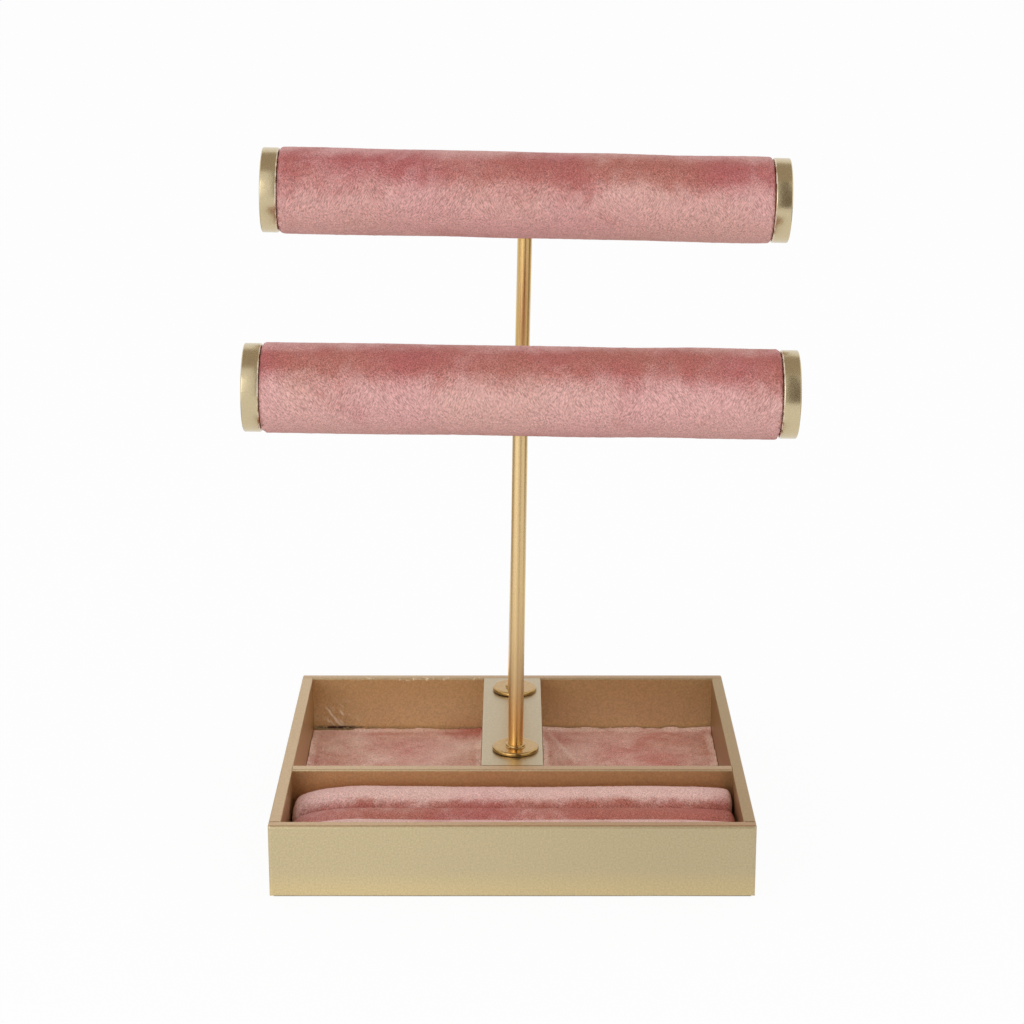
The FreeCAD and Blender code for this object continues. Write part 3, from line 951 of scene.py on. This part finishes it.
# %% [markdown]
# Padded sleeves
#
# A sleeve of velvet over thin padding is drawn tight round each bar's tube and tucked in at the ends,
# beside the cap. A cloth simulation only gives the tube back, because nothing on it is slack, so the
# padding's unevenness is moved in code: broad soft swellings, and ends that are rounded and a little
# ragged. A hole underneath lets the rod in.

# %% The sleeves
sleeve_high = own_box("lower_bar_sleeve", bar_place["lower_bar"])[1]
sleeve_stretch = 0.35 * mm
sleeve_fit = 0.05 * mm
sleeve_half_length = sleeve_high.x + sleeve_stretch
sleeve_radius = sleeve_high.y
sleeve_bore = core_high.y + sleeve_fit
sleeve_end_round = 1.9 * mm
sleeve_stations = 220
sleeve_points = 240
brushed_lower = {"lower_bar": 0.0, "upper_bar": 7.0}
# Round the bar the pile is pale in front and below, dark over the upper front and paler again along the top.
# The dark band is partly brushed pile and partly painted shade, and the pale top rim is a painted sheen.
sleeve_nap_shade_and_sheen = ((-180, 0.4), (-150, 0.9), (-95, 0.55), (-45, 0.95), (0, 0.95), (22, 0.6), (40, 0.2),
                  (63, 0.05), (84, 0.5), (110, 0.95), (165, 0.9), (180, 0.4))


def sleeve_lie(place, lower):
    """How pale the pile is at a place on the bar, by the slope there: 0 faces the front and 90 faces up."""
    slope = math.degrees(math.atan2(place.z, -place.y)) + lower
    for (low, lie_low), (high, lie_high) in zip(sleeve_nap_shade_and_sheen, sleeve_nap_shade_and_sheen[1:]):
        if slope <= high:
            return lie_low + (lie_high - lie_low) * (slope - low) / (high - low)
    return sleeve_nap_shade_and_sheen[-1][1]


def mark_lie(piece, lie_at):
    """Store the lie of the pile, painted light and shade included, on every point of a piece."""
    marks = piece.data.attributes.new("lie", "FLOAT", "POINT")
    for vertex in piece.data.vertices:
        marks.data[vertex.index].value = lie_at(vertex.co)


fresh_start()
straight = 2 * (sleeve_half_length - sleeve_end_round)
bpy.ops.mesh.primitive_cylinder_add(vertices=sleeve_points, radius=sleeve_radius, depth=straight,
                                    end_fill_type="NOTHING", rotation=(0, math.radians(90), 0))
first_sleeve = bpy.context.object
bpy.ops.object.transform_apply(location=False, rotation=True, scale=False)
bpy.ops.object.mode_set(mode="EDIT")
pick("EDGE", lambda edge: not edge.is_boundary)
bpy.ops.mesh.subdivide(number_cuts=sleeve_stations)
for sign in (-1, 1):
    pick("EDGE", lambda edge: edge.is_boundary and middle(edge).x * sign > 0)
    across, along = sleeve_radius, 0.0
    rounding = quarter_round(sleeve_radius - sleeve_end_round, 0, sleeve_end_round, 15, 90, 5)
    for next_radius, next_along in rounding:
        shift = (sign * (next_along - along), 0, 0)
        bpy.ops.mesh.extrude_edges_move(TRANSFORM_OT_translate={"value": shift})
        factor = next_radius / across
        bpy.ops.transform.resize(value=(1, factor, factor), center_override=(0, 0, 0))
        across, along = next_radius, next_along
    bpy.ops.mesh.extrude_edges_move(TRANSFORM_OT_translate={"value": (0, 0, 0)})
    factor = sleeve_bore / across
    bpy.ops.transform.resize(value=(1, factor, factor), center_override=(0, 0, 0))
pick("EDGE", lambda edge: edge.is_boundary)
bpy.ops.mesh.bridge_edge_loops()
tidy_faces()
bpy.ops.object.mode_set(mode="OBJECT")
print("sleeve of", len(first_sleeve.data.polygons), "faces")

# %% Swell and rag the sleeves, and set them on the bars
swell = 0.4 * mm
swells_per_metre = 26.0
fuzz = 0.16 * mm
tufts_per_metre = 900.0
rag = 1.5 * mm
rag_reach = 3.0 * mm
tears_per_metre = 480.0
tear_groups_per_metre = 120.0
lining = (sleeve_bore + sleeve_radius) / 2 - 0.5 * mm
rod_hole = rod_radius + 0.45 * mm
rod_hole_points = 32


def unevenness(place, per_metre, shift=(0, 0, 0)):
    """Smooth noise between -1 and 1, with the given number of features per metre."""
    return noise.noise(place * per_metre + Vector(shift))


for seed, bar in enumerate(bars):
    sleeve = copy_of(first_sleeve, bar + "_sleeve_velvet")
    for vertex in sleeve.data.vertices:
        place = vertex.co.copy()
        across = Vector((0, place.y, place.z))
        if across.length < lining:
            continue
        broad = unevenness(place, swells_per_metre, (0, 0, 7 * seed))
        fine = unevenness(place, tufts_per_metre, (0, 0, 11 * seed))
        vertex.co += across.normalized() * (swell * (broad - 0.1) + fuzz * fine)
        near_end = max(0.0, 1 - (sleeve_half_length - abs(place.x)) / rag_reach)
        torn = 0.4 + unevenness(place, tears_per_metre, (5 * seed, 0, 0))
        torn += 0.6 * unevenness(place, tear_groups_per_metre)
        torn *= 0.8 - 0.5 * place.z / sleeve_radius
        vertex.co.x -= math.copysign(rag * near_end * max(0.0, torn), place.x)
    fresh_start()
    bpy.ops.mesh.primitive_cylinder_add(vertices=rod_hole_points, radius=rod_hole, depth=sleeve_radius,
                                        location=(0, 0, -sleeve_radius))
    drill = bpy.context.object
    apply_modifier(sleeve, "BOOLEAN", operation="DIFFERENCE", object=drill, solver="EXACT")
    bpy.data.objects.remove(drill)
    mark_lie(sleeve, lambda place: sleeve_lie(place, brushed_lower[bar]))
    set_down(sleeve, bar_place[bar])
    bpy.ops.object.shade_smooth_by_angle(angle=math.radians(50))
    dress(sleeve, bar_velvet, bar + "_sleeve", bar)
bpy.data.objects.remove(first_sleeve)
print("two sleeves")

# %% [markdown]
# Ring rolls
#
# The front bay holds three foam rolls side by side, each wrapped in velvet, and rings are pushed into the
# slits between them. A roll starts as a block with its top edges bevelled round and its ends drawn down.
# Then it is remeshed in even squares, and Cloth blows it up from inside with its foot held, as the foam
# does with its cover.

# %% Helpers for the rolls
roll_names = ("rear", "middle", "front")
roll_ends = {-1: (9.0 * mm, 32.0 * mm, 0.5), 1: (1.7 * mm, 40.0 * mm, 1.0)}
roll_top_round = 0.47
roll_end_round = 2.6 * mm
roll_mesh = 2.2 * mm
roll_swell_most = 0.8 * mm
roll_pressure = 4.0
swell_frames = 20
near = 0.1 * mm


def roll_block(name, low, high):
    """A block between two corners with a round top, drawn down at its ends, in even squares."""
    fresh_start()
    size, centre = high - low, (low + high) / 2
    bpy.ops.mesh.primitive_cube_add(size=1, location=centre, scale=size)
    piece = bpy.context.object
    piece.name = name
    bpy.ops.object.transform_apply(location=True, rotation=False, scale=True)
    bpy.ops.object.mode_set(mode="EDIT")
    top, off_middle, end = high.z - near, near, size.x / 2 - near
    pick("EDGE", lambda edge: middle(edge).z > top and abs(middle(edge).y - centre.y) > off_middle)
    bpy.ops.mesh.bevel(offset=size.y * roll_top_round, segments=8, affect="EDGES")
    pick("EDGE", lambda edge: abs(middle(edge).x - centre.x) > end and middle(edge).z > low.z + 1 * mm)
    bpy.ops.mesh.bevel(offset=roll_end_round, segments=4, affect="EDGES")
    bpy.ops.object.mode_set(mode="OBJECT")
    apply_modifier(piece, "REMESH", mode="VOXEL", voxel_size=roll_mesh)
    for vertex in piece.data.vertices:
        along = vertex.co.x - centre.x
        drop, run, fullness = roll_ends[-1 if along < 0 else 1]
        near_end = max(0.0, min(1.0, 1 - (size.x / 2 - abs(along)) / run))
        bow = 1 - (1 - near_end ** 2) ** fullness
        vertex.co.z -= drop * bow * max(0.0, (vertex.co.z - low.z) / size.z)
    return piece


def open_foot(piece, foot):
    """Take away the faces that lie on the card, because the cover is glued down round its edge."""
    only(piece)
    bpy.ops.object.mode_set(mode="EDIT")
    pick("FACE", lambda face: middle(face).z < foot + 0.5 * mm and face.normal.z < -0.7)
    bpy.ops.mesh.delete(type="FACE")
    bpy.ops.object.mode_set(mode="OBJECT")


def blow_up(piece, foot, most):
    """Swell a piece with cloth pressure, its foot held, and let no point move further than the most."""
    only(piece)
    held = piece.vertex_groups.new(name="glued foot")
    held.add([vertex.index for vertex in piece.data.vertices if vertex.co.z < foot], 1.0, "REPLACE")
    before = [vertex.co.copy() for vertex in piece.data.vertices]
    bpy.ops.object.modifier_add(type="CLOTH")
    cloth = piece.modifiers[-1]
    cloth.settings.vertex_group_mass = held.name
    cloth.settings.use_pressure = True
    cloth.settings.uniform_pressure_force = roll_pressure
    cloth.settings.effector_weights.gravity = 0
    for step in range(1, swell_frames + 1):
        bpy.context.scene.frame_set(step)
    bpy.ops.object.modifier_apply(modifier=cloth.name)
    bpy.context.scene.frame_set(1)
    for vertex, rest in zip(piece.data.vertices, before):
        move = vertex.co - rest
        if move.length > most:
            vertex.co = rest + move * (most / move.length)
    piece.vertex_groups.clear()
    return max((vertex.co - rest).length for vertex, rest in zip(piece.data.vertices, before))


# %% The rolls and the foam in them
cover_thickness = 1.1 * mm
swell_room = 0.3 * mm
roll_sink = {"rear": 0.0, "middle": 2.5 * mm, "front": -0.2 * mm}
# The lie values in front of and behind each roll's border are partly brushed pile and partly painted shade.
roll_lie_and_shade = {"rear": (0.15, 0.97, 1.3 * mm, 3.2 * mm), "middle": (0.6, 0.08, -0.3 * mm, 5.5 * mm),
                "front": (0.95, 0.9, 0.0, 5.0 * mm)}
stroke_rag = 0.8 * mm
pale_end = 42.0 * mm
left_end_highlight = 0.35
rightward_shade_per_metre = 1.2
borders_per_metre = 75.0
border_tufts_per_metre = 420.0
roll_tufts_per_metre = 700.0
roll_lumps_per_metre = 45.0
glued_height = 2.0 * mm


def roll_lie(place, low, strokes):
    """The lie of a roll's pile: one value in front and one behind a ragged border, from brushing and painted
    shade.
    """
    front_lie, back_lie, stroke_start, stroke_width = strokes
    left_end = max(0.0, 1 - (place.x - low.x) / pale_end)
    border = noise.noise(Vector((place.x * borders_per_metre, 0, low.y)))
    border += 1.2 * unevenness(place, border_tufts_per_metre) - 1.2 * left_end
    # The tone is painted light: paler towards the left end, darker towards the right.
    tone = left_end_highlight * left_end ** 2 - rightward_shade_per_metre * place.x
    share = (place.y - low.y - stroke_start - stroke_rag * border) / stroke_width
    return front_lie + (back_lie - front_lie) * max(0.0, min(1.0, share)) + tone


for seed, roll in enumerate(roll_names):
    low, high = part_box(roll + "_roll_cover")
    room = Vector((swell_room, swell_room, 0))
    sink = Vector((0, 0, swell_room + roll_sink[roll]))
    cover = roll_block(roll + "_roll_velvet", low + room, high - room - sink)
    open_foot(cover, low.z)
    moved = blow_up(cover, low.z + glued_height, roll_swell_most)
    apply_modifier(cover, "SUBSURF", levels=1, render_levels=1)
    for vertex in cover.data.vertices:
        tuft = unevenness(vertex.co, roll_tufts_per_metre, (0, 0, seed)) * fuzz
        lump = unevenness(vertex.co, roll_lumps_per_metre, (0, 0, seed)) * swell_room
        vertex.co += vertex.normal * (tuft + lump)
        vertex.co = Vector(map(max, low, map(min, high, vertex.co)))
    apply_modifier(cover, "SOLIDIFY", thickness=cover_thickness, offset=-1.0)
    mark_lie(cover, lambda place: roll_lie(place, low, roll_lie_and_shade[roll]))
    only(cover)
    bpy.ops.object.shade_smooth()
    dress(cover, roll_velvet, roll + "_roll_cover", "ring_insert")
    low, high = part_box(roll + "_roll_foam")
    top = high - room - sink - Vector((0, 0, swell_room))
    filling = roll_block(roll + "_roll_filling", low + room, top)
    only(filling)
    bpy.ops.object.shade_smooth()
    dress(filling, foam, roll + "_roll_foam", "ring_insert")
    print(roll, "roll swelled by at most", round(moved / mm, 2), "mm")

# %% [markdown]
# Compartment liners
#
# Each back compartment is lined with a piece of velvet wrapped over a card. The velvet is one sheet: flat
# over the card and folded down round its edge. A grid gets that fold and the small lifts and creases of a
# hand-wrapped liner, and Solidify gives it its thickness.

# %% The liners
# The right liner's lie starts lower, a painted shade on the right of the tray.
liner_lie_and_side_shade = {"left": 0.5, "right": 0.38}
outer_sign = {"left": -1, "right": 1}
flare = 0.7 * mm
flare_reach = 3.0 * mm
liner_cell = 1.1 * mm
liner_thickness = 1.05 * mm
hem_lift = 0.45 * mm
hem_width = 1.3 * mm
edge_waver = 0.2 * mm
crease_width = 1.0 * mm
hem_shadow_place = 3.4 * mm
hem_shadow_width = 1.1 * mm
back_gap = 2.4 * mm
back_reach = 5.0 * mm
back_gap_run = 19.0 * mm
fray_height = 1.0 * mm
flap_depth = 2.0 * mm
flap_run = 22.0 * mm
flap_height = {"left": 0.0, "right": 2.2}
brushed_corner = 24.0 * mm
fray_width = 1.4 * mm
pull_reach = 4.0 * mm
folded_down = 0.28
fold_steps = 3
hems_per_metre = 90.0
frays_per_metre = 330.0
threads_per_metre = 1100.0
puckers_per_metre = 45.0
nubs_per_metre = 500.0
hem_shadows_per_metre = 60.0
wavers_per_metre = 55.0
gap_wavers_per_metre = 120.0
lies_per_metre = 22.0


def peak(distance, width):
    """A soft peak of 1 where the distance is 0."""
    return math.exp(-(distance / width) ** 2)


def fade(distance, reach):
    """1 where the distance is 0, down to 0 at the reach and beyond."""
    return max(0.0, 1 - distance / reach)


def off_crease(place, start, end):
    """How far a place is from a straight crease, seen from above."""
    along = end - start
    share = max(0.0, min(1.0, (place - start).dot(along) / along.length_squared))
    return (place - start - along * share).length


for side in ("left", "right"):
    low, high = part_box(side + "_liner_velvet")
    size = high - low
    fresh_start()
    columns, rows = (round(length / liner_cell) for length in (size.x, size.y))
    bpy.ops.mesh.primitive_grid_add(x_subdivisions=columns, y_subdivisions=rows, size=1,
                                    location=((low.x + high.x) / 2, (low.y + high.y) / 2, high.z))
    liner = bpy.context.object
    liner.name = side + "_liner_sheet"
    liner.scale = (size.x, size.y, 1)
    bpy.ops.object.transform_apply(location=True, rotation=False, scale=True)
    bpy.ops.object.mode_set(mode="EDIT")
    pick("EDGE", lambda edge: edge.is_boundary)
    for step in range(fold_steps):
        bpy.ops.mesh.extrude_edges_move(TRANSFORM_OT_translate={"value": (0, 0, -folded_down * size.z)})
    bpy.ops.object.mode_set(mode="OBJECT")
    corner = Vector((low.x + 2 * mm, high.y - 3 * mm))
    crease = (corner, corner + Vector((14 * mm, -44 * mm)))
    card_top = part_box(side + "_liner_card")[1].z
    painted_light_and_nap = {}
    for vertex in liner.data.vertices:
        place = vertex.co.copy()
        edge_gap = min(place.x - low.x, high.x - place.x, place.y - low.y, (high.y - place.y) / 2)
        hem = peak(edge_gap - hem_width, hem_width) * (0.45 + 0.9 * unevenness(place, hems_per_metre))
        fold = peak(off_crease(place.xy, *crease), crease_width) if side == "right" else 0.0
        from_corner = min(place.x - low.x, high.x - place.x)
        flap = peak(high.y - place.y - flap_depth, flap_depth) * fade(from_corner, flap_run)
        flap *= flap_height[side]
        behind = fade(high.y - place.y, back_reach) if side == "left" else 0.0
        in_gap = behind if place.x < low.x + back_gap_run else 0.3 * behind
        threads = unevenness(place, frays_per_metre) + 0.6 * unevenness(place, threads_per_metre)
        fray = fade(edge_gap, fray_width) * (0.4 + threads) * (1 - in_gap)
        puckers = 0.3 * unevenness(place, puckers_per_metre) + 0.25 * unevenness(place, nubs_per_metre)
        rise = hem_lift * (max(hem, fold, flap) - 1.0 + puckers)
        brushed_back = fade((high.xy - place.xy).length, brushed_corner) if side == "left" else 0.0
        # A dark line beside each hem is a painted shadow of the fold; the dark back corner of the left liner
        # is brushed pile.
        hem_shadow = peak(edge_gap - hem_shadow_place, hem_shadow_width) * (0.25 + unevenness(place, hem_shadows_per_metre))
        dark = 0.6 * max(0.0, hem_shadow) + 1.6 * brushed_back
        # Hems, the crease, the flaps and frayed threads are painted paler where they catch light, less the
        # painted shadow.
        painted_light_and_nap[vertex.index] = max(hem, 0.6 * fold, flap, fray) - dark
        outer_gap = place.x - low.x if side == "left" else high.x - place.x
        vertex.co.x += outer_sign[side] * flare * fade(outer_gap, flare_reach)
        pull = edge_waver * (0.5 + unevenness(place, wavers_per_metre)) * fade(edge_gap, pull_reach)
        vertex.co.y -= back_gap * in_gap * (0.8 + 0.4 * unevenness(place, gap_wavers_per_metre))
        inwards = Vector(((low.x + high.x) / 2 - place.x, (low.y + high.y) / 2 - place.y, 0)).normalized()
        vertex.co += inwards * max(0.0, pull)
        curl = fray_height * max(0.0, fray, 0.7 * flap) if place.z > high.z - near else 0.0
        vertex.co.z = min(high.z, vertex.co.z + min(0.0, rise)) + curl
        if in_gap > 0.2:
            vertex.co.z = max(vertex.co.z, card_top)
    marks = liner.data.attributes.new("lie", "FLOAT", "POINT")
    for vertex in liner.data.vertices:
        stroked = liner_lie_and_side_shade[side] + 0.3 * unevenness(vertex.co, lies_per_metre)
        marks.data[vertex.index].value = stroked + 0.5 * painted_light_and_nap[vertex.index]
    apply_modifier(liner, "SOLIDIFY", thickness=liner_thickness, offset=-1.0)
    bpy.ops.object.shade_smooth_by_angle(angle=math.radians(50))
    dress(liner, liner_velvet, side + "_liner_velvet", "base")
    print(side, "liner", [round(value / mm, 1) for value in size])

# %% [markdown]
# Base felt
#
# A sheet of dark felt under the tray keeps it from scratching the table. It is a grid with a slightly
# uneven edge, as cut with shears, and Solidify gives it its half millimetre.

# %% The felt
felt_low, felt_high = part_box("base_felt")
felt_size = felt_high - felt_low
felt_middle = (felt_low + felt_high) / 2
felt_fit = 0.05 * mm
felt_thickness = felt_size.z - felt_fit
felt_columns = 60
felt_rows = 56
felt_glue = 0.02 * mm
cut_waver = 0.0015
cuts_per_metre = 40.0
fresh_start()
bpy.ops.mesh.primitive_grid_add(x_subdivisions=felt_columns, y_subdivisions=felt_rows, size=1,
                                location=(felt_middle.x, felt_middle.y, felt_high.z))
sheet = bpy.context.object
sheet.name = "base_felt_sheet"
sheet.scale = (felt_size.x, felt_size.y, 1)
bpy.ops.object.transform_apply(location=True, rotation=False, scale=True)
for vertex in sheet.data.vertices:
    waver = 1 - cut_waver * (1 + unevenness(vertex.co, cuts_per_metre))
    vertex.co.x *= waver
    vertex.co.y *= waver
    vertex.co.z -= felt_glue
apply_modifier(sheet, "SOLIDIFY", thickness=felt_thickness, offset=-1.0)
dress(sheet, felt, "base_felt", "base")
print("felt", [round(value / mm, 1) for value in felt_size])
